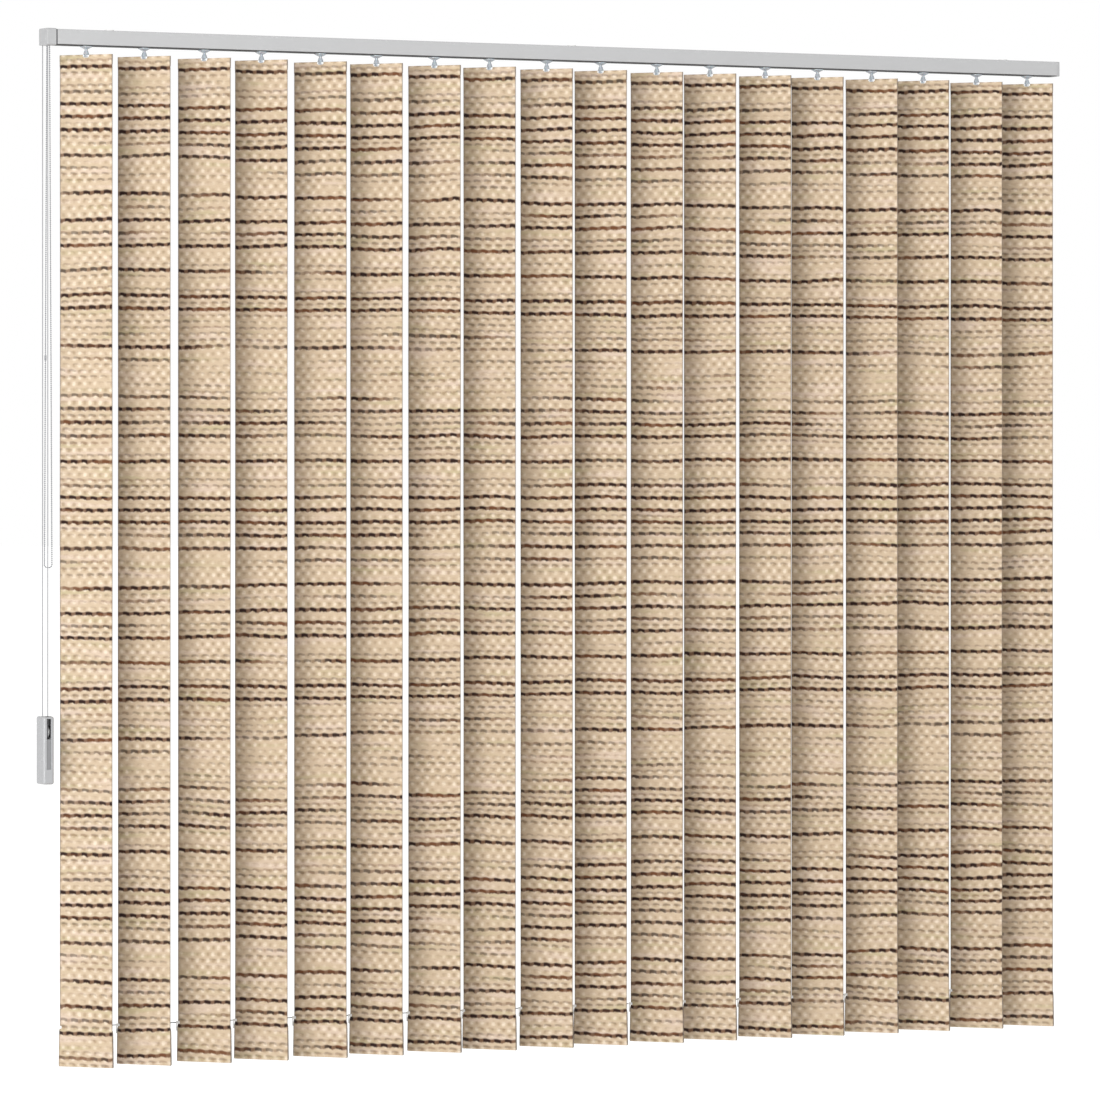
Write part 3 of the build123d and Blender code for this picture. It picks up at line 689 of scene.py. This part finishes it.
def addPin(bm, radius, length, centre, soft):
    # A short round pin along Y with softened ends
    turn = Matrix.Rotation(pi / 2, 4, "X")
    made = bmesh.ops.create_cone(bm, cap_ends=True, segments=20, radius1=radius, radius2=radius,
                                 depth=length, matrix=Matrix.Translation(centre) @ turn)["verts"]
    rims = [edge for edge in {edge for corner in made for edge in corner.link_edges}
            if any(len(face.verts) > 4 for face in edge.link_faces)]
    bmesh.ops.bevel(bm, geom=rims, offset=soft, offset_type="OFFSET", segments=2,
                    profile=0.5, affect="EDGES", material=-1)


def hookStemMesh(values):
    bm = bmesh.new()
    spinProfile(bm, values["profile"])
    width, thick, reach = values["prong"]
    for side in (-1, 1):
        faces = sorted((side * values["prongFace"], side * (values["prongFace"] + thick)))
        addBar(bm, (-width / 2, faces[0], -reach), (width / 2, faces[1], values["prongRoot"]),
               values["prongSoft"])
    peg = 2 * (values["prongFace"] + thick)
    addPin(bm, values["pegRadius"], peg, (0, 0, -values["pegDepth"]), values["pegSoft"])
    return finishMesh(bm, "hookStem")


pinionValues = {
    "radius": 0.0025,
    "toothTip": 0.0032,
    "toothTaper": 0.00008,
    "teeth": 10,
    "foot": 0.01898,                                # above the vane's top
    "height": 0.0044,
    "bore": 0.00165,
}


def pinionMesh(values):
    # A ring of faces in which every second one is drawn out to a tooth
    bm = bmesh.new()
    sides = 2 * values["teeth"]
    outer = bmesh.ops.create_circle(bm, segments=sides, radius=values["radius"])["verts"]
    inner = bmesh.ops.create_circle(bm, segments=sides, radius=values["bore"])["verts"]
    rims = list({edge for corner in outer + inner for edge in corner.link_edges})
    bottom = bmesh.ops.bridge_loops(bm, edges=rims)["faces"]
    raised = bmesh.ops.extrude_face_region(bm, geom=bottom)["geom"]
    bmesh.ops.translate(bm, vec=(0, 0, values["height"]),
                        verts=[part for part in raised if isinstance(part, bmesh.types.BMVert)])
    flanks = [face for face in bm.faces if abs(face.normal.z) < 0.5
              and face.calc_center_median().xy.length > (values["radius"] + values["bore"]) / 2]
    flanks.sort(key=lambda face: face.calc_center_median().to_2d().angle_signed(Vector((1, 0))))
    for flank in flanks[::2]:
        bmesh.ops.inset_individual(bm, faces=[flank], thickness=values["toothTaper"])
        for face in bmesh.ops.extrude_discrete_faces(bm, faces=[flank])["faces"]:
            outward = face.calc_center_median()
            outward.z = 0
            outward.normalize()
            bmesh.ops.translate(bm, verts=face.verts,
                                vec=outward * (values["toothTip"] - values["radius"]))
    bmesh.ops.translate(bm, verts=bm.verts, vec=(0, 0, values["foot"]))
    return finishMesh(bm, "pinion")


hangerValues = {
    "width": 0.06,
    "thick": 0.0012,
    "height": 0.0139,
    "top": 0.0006,                                  # below the vane's top
    "tab": 0.009,
    "tabRoot": 0.0004,                              # how far the tab reaches into the plate
    "tabTop": 0.00015,
    "soft": 0.0004,                                 # rounding of the plate's edges
    "tabSoft": 0.00018,
}


def hangerMesh(values):
    # The white plate in the top hem, with a tab in the window of the cloth
    bm = bmesh.new()
    half, inside, tab = values["width"] / 2, values["thick"] / 2, values["tab"] / 2
    addBar(bm, (-half, -inside, -values["top"] - values["height"]), (half, inside, -values["top"]),
           values["soft"], 3)
    addBar(bm, (-tab, -inside, -values["top"] - values["tabRoot"]), (tab, inside, -values["tabTop"]),
           values["tabSoft"])
    return finishMesh(bm, "hanger")


weightValues = {
    "plate": (0.086, 0.0018, 0.0524),               # width, thickness, height
    "foot": 0.0006,                                 # above the cloth's lowest point
    "soft": 0.0005,                                 # rounding of the plate's edges
    "armOut": 0.04765,                              # how far the arm reaches from the middle
    "armWidth": 0.0013,
    "armHeight": 0.006,
    "armLap": 0.001,                                # how far it reaches into the plate
    "armSoft": 0.0003,
    "hookTop": 0.062,
    "leafWidth": 0.0061,
    "leafThick": 0.0008,
    "leafBack": -0.00045,
    "leafHeight": 0.004,
}


def weightMesh(values):
    # The flat weight in the bottom hem, with the arm and clip that hold the chain. Z is up from the foot
    bm = bmesh.new()
    width, thick, height = values["plate"]
    half, inside, out = width / 2, thick / 2, values["armOut"]
    foot, plateTop, hookTop = values["foot"], values["foot"] + height, values["hookTop"]
    armFoot = plateTop - values["armHeight"]
    leafBack = values["leafBack"]
    for low, high, soft, segments in (
        ((-half, -inside, foot), (half, inside, plateTop), values["soft"], 3),
        ((-out, -inside, armFoot), (-half + values["armLap"], inside, plateTop), values["armSoft"], 2),
        ((-out, -inside, armFoot), (-out + values["armWidth"], inside, hookTop), values["armSoft"], 2),
        ((-out, leafBack - values["leafThick"], hookTop - values["leafHeight"]),
         (-out + values["leafWidth"], leafBack, hookTop), values["armSoft"], 2),
    ):
        addBar(bm, low, high, soft, segments)
    return finishMesh(bm, "weight")


def halfTurn(radius, height, start, steps=10):
    # Places on a half turn of cloth about its core, as (depth, height)
    turns = [start + pi * n / steps for n in range(1, steps + 1)]
    return [(radius * cos(turn), height + radius * sin(turn)) for turn in turns]


def foldLine(values):
    # The folded cloth's middle line as (depth, height above the foot, length along the cloth)
    top, foot, end = values["topRadius"], values["footRadius"], values["turnedEnd"]
    topCore = values["drop"] - top - values["thick"] / 2
    footCore = foot + values["thick"] / 2
    topSeam = values["drop"] - values["topHem"]
    bottomSeam = values["bottomHem"]
    line = [(end, topSeam), (0.0008, topSeam + 0.004), (top, topSeam + 0.007), (top, topCore)]
    line += halfTurn(top, topCore, 0)               # over the hanger
    line += [(-top, topSeam + 0.007), (-0.0006, topSeam), (0.0, topSeam - 0.004)]
    line += [(0.0, bottomSeam + 0.006), (-0.0002, bottomSeam + 0.001), (-foot * 0.8, bottomSeam - 0.004),
             (-foot, bottomSeam - 0.012), (-foot, footCore)]
    line += halfTurn(foot, footCore, pi)            # under the weight
    line += [(foot, bottomSeam - 0.012), (foot * 0.8, bottomSeam - 0.004), (end, bottomSeam - 0.0002)]
    along, gone = [(*line[0], 0.0)], 0.0
    for before, after in zip(line, line[1:]):
        gone += sqrt((after[0] - before[0]) ** 2 + (after[1] - before[1]) ** 2)
        along.append((*after, gone))
    return along


def onFold(fold, run):
    # Depth and height of the folded cloth at a length along it
    for before, after in zip(fold, fold[1:]):
        if run <= after[2]:
            share = (run - before[2]) / max(after[2] - before[2], 1e-9)
            return [low + (high - low) * share for low, high in zip(before[:2], after[:2])]
    return fold[-1][:2]


def creaseAt(bm, place, direction):
    # A line of edges across the cloth
    bmesh.ops.bisect_plane(bm, geom=bm.verts[:] + bm.edges[:] + bm.faces[:], dist=1e-6,
                           plane_co=place, plane_no=direction)


def ramp(value, low, length):
    # 0 up to low, and 1 from a length beyond it
    return min(max((value - low) / length, 0), 1)


def cutCloth(values, index, fold):
    # A flat cut of cloth with creases along its folds and a window for the hook
    cut = fold[-1][2]
    topRun = max(fold, key=lambda point: point[1])[2]
    bm = bmesh.new()
    flat = Matrix.Translation((0, cut / 2, 0)) @ Matrix.Diagonal((values["width"], cut, 1, 1))
    bmesh.ops.create_grid(bm, x_segments=values["columns"], y_segments=values["rows"], size=0.5,
                          matrix=flat)
    for run in sorted({round(point[2], 6) for point in fold[1:-1]}):
        creaseAt(bm, (0, run, 0), (0, 1, 0))
    for half, depth in values["window"]:
        for side in (-half, half):
            creaseAt(bm, (side, 0, 0), (1, 0, 0))
        for side in (-depth, depth):
            creaseAt(bm, (0, topRun + side, 0), (0, 1, 0))
    holed = []
    for face in bm.faces:
        centre = face.calc_center_median()
        if any(abs(centre.x) < half and abs(centre.y - topRun) < depth for half, depth in values["window"]):
            holed.append(face)
    bmesh.ops.delete(bm, geom=holed, context="FACES")
    chart = bm.loops.layers.uv.new("clothMap")
    for face in bm.faces:
        for loop in face.loops:
            loop[chart].uv = (index * values["width"] + loop.vert.co.x, loop.vert.co.y - topRun)
    return bm


def foldCloth(bm, values, index, fold):
    # Folds the cut round the hanger and the weight, flares the hem and ripples what hangs free
    hem, corner = values["bottomHem"], values["corner"]
    for vertex in bm.verts:
        x, run = vertex.co.x, vertex.co.y
        depth, height = onFold(fold, run)
        inHem = 1 - ramp(height, hem - 0.001, 0.001)
        flare = 0.45 + 0.55 * (1 - min(height / hem, 1))
        wide = 1 + inHem * flare * (values["hemWidth"] / values["width"] - 1)
        cornerUp = max(corner - height, 0)
        wide -= 2 * (corner - sqrt(corner ** 2 - cornerUp ** 2)) / values["hemWidth"]
        wave = values["ripple"] * sin(x * 41 + index) * sin(height * 9.3 + index * 1.7)
        free = ramp(height, hem, values["calm"]) * (1 - ramp(height, values["calmFrom"], values["calm"]))
        vertex.co = (x * wide, depth + wave * free, height)


def placeVane(mesh, axis, lift):
    # Turns a mesh made on the origin to the vane's angle and sets it on the vane's axis
    mesh.transform(Matrix.Translation((axis.x, axis.y, lift)) @ Matrix.Rotation(vaneTurn, 4, "Z"))


def makeVane(number, axis, fold):
    body = f"vane_{number:02d}"
    cloth = cutCloth(clothValues, number - 1, fold)
    foldCloth(cloth, clothValues, number - 1, fold)
    clothPiece = addToScene(f"cloth_{number:02d}", finishMesh(cloth, f"cloth_{number:02d}", 60))
    solid = clothPiece.modifiers.new("thickness", "SOLIDIFY")
    solid.thickness = clothValues["thick"]
    solid.offset = 0
    made = {
        "hook_stem": (hookStemMesh(stemValues), "carrier_plastic", vaneTop),
        "pinion": (pinionMesh(pinionValues), "white_plastic", vaneTop),
        "hanger": (hangerMesh(hangerValues), "white_plastic", vaneTop),
        "bottom_weight": (weightMesh(weightValues), "white_plastic", vaneFoot),
    }
    placeVane(clothPiece.data, axis, vaneFoot)
    for name, (mesh, slotName, lift) in made.items():
        placeVane(mesh, axis, lift)
        dress(addToScene(f"{name}_{number:02d}", mesh), slotName, body, body)
    dress(clothPiece, "woven_fabric", body, body)


vaneFold = foldLine(clothValues)
for number in range(1, vaneCount + 1):
    makeVane(number, vaneAxis(number), vaneFold)
print("vanes made")


# floor, light and surroundings

studioValues = {
    "floorHeight": -1.75,
    "floorSize": 160,
    "floorGlow": 0.15,
    "worldStrength": 1.0,
    "lamps": {                                      # direction, distance, size, energy
        "key": ((-0.766, -0.643, 0.1), 12.0, 6.0, 1400),
        "fill": ((0.1, -1.0, 0.3), 10.0, 5.0, 120),
    },
}


def makeStudio(values):
    bm = bmesh.new()
    bmesh.ops.create_grid(bm, x_segments=1, y_segments=1, size=values["floorSize"] / 2,
                          matrix=Matrix.Translation((0, 0, values["floorHeight"])))
    floor = addToScene("floor", finishMesh(bm, "floor"))
    material, tree, shader = newMaterial("paleFloor")
    shader.inputs["Base Color"].default_value = (0.95, 0.95, 0.95, 1)
    shader.inputs["Roughness"].default_value = 1.0
    shader.inputs["Specular IOR Level"].default_value = 0.0
    shader.inputs["Emission Color"].default_value = (1, 1, 1, 1)
    shader.inputs["Emission Strength"].default_value = values["floorGlow"]
    floor.data.materials.append(material)

    world = bpy.data.worlds.new("studio")
    world.use_nodes = True
    sky = world.node_tree.nodes["Background"]
    sky.inputs["Color"].default_value = (1, 1, 1, 1)
    sky.inputs["Strength"].default_value = values["worldStrength"]
    scene.world = world

    centre = (cadLow + cadHigh) / 2
    for name, (direction, distance, size, energy) in values["lamps"].items():
        data = bpy.data.lights.new(name, "AREA")
        data.size = size
        data.energy = energy
        lamp = bpy.data.objects.new(name, data)
        toLamp = Vector(direction).normalized()
        lamp.location = centre + toLamp * distance
        lamp.rotation_euler = toLamp.to_track_quat("Z", "Y").to_euler()
        scene.collection.objects.link(lamp)


makeStudio(studioValues)
scene.view_settings.view_transform = "Standard"
print("studio made")
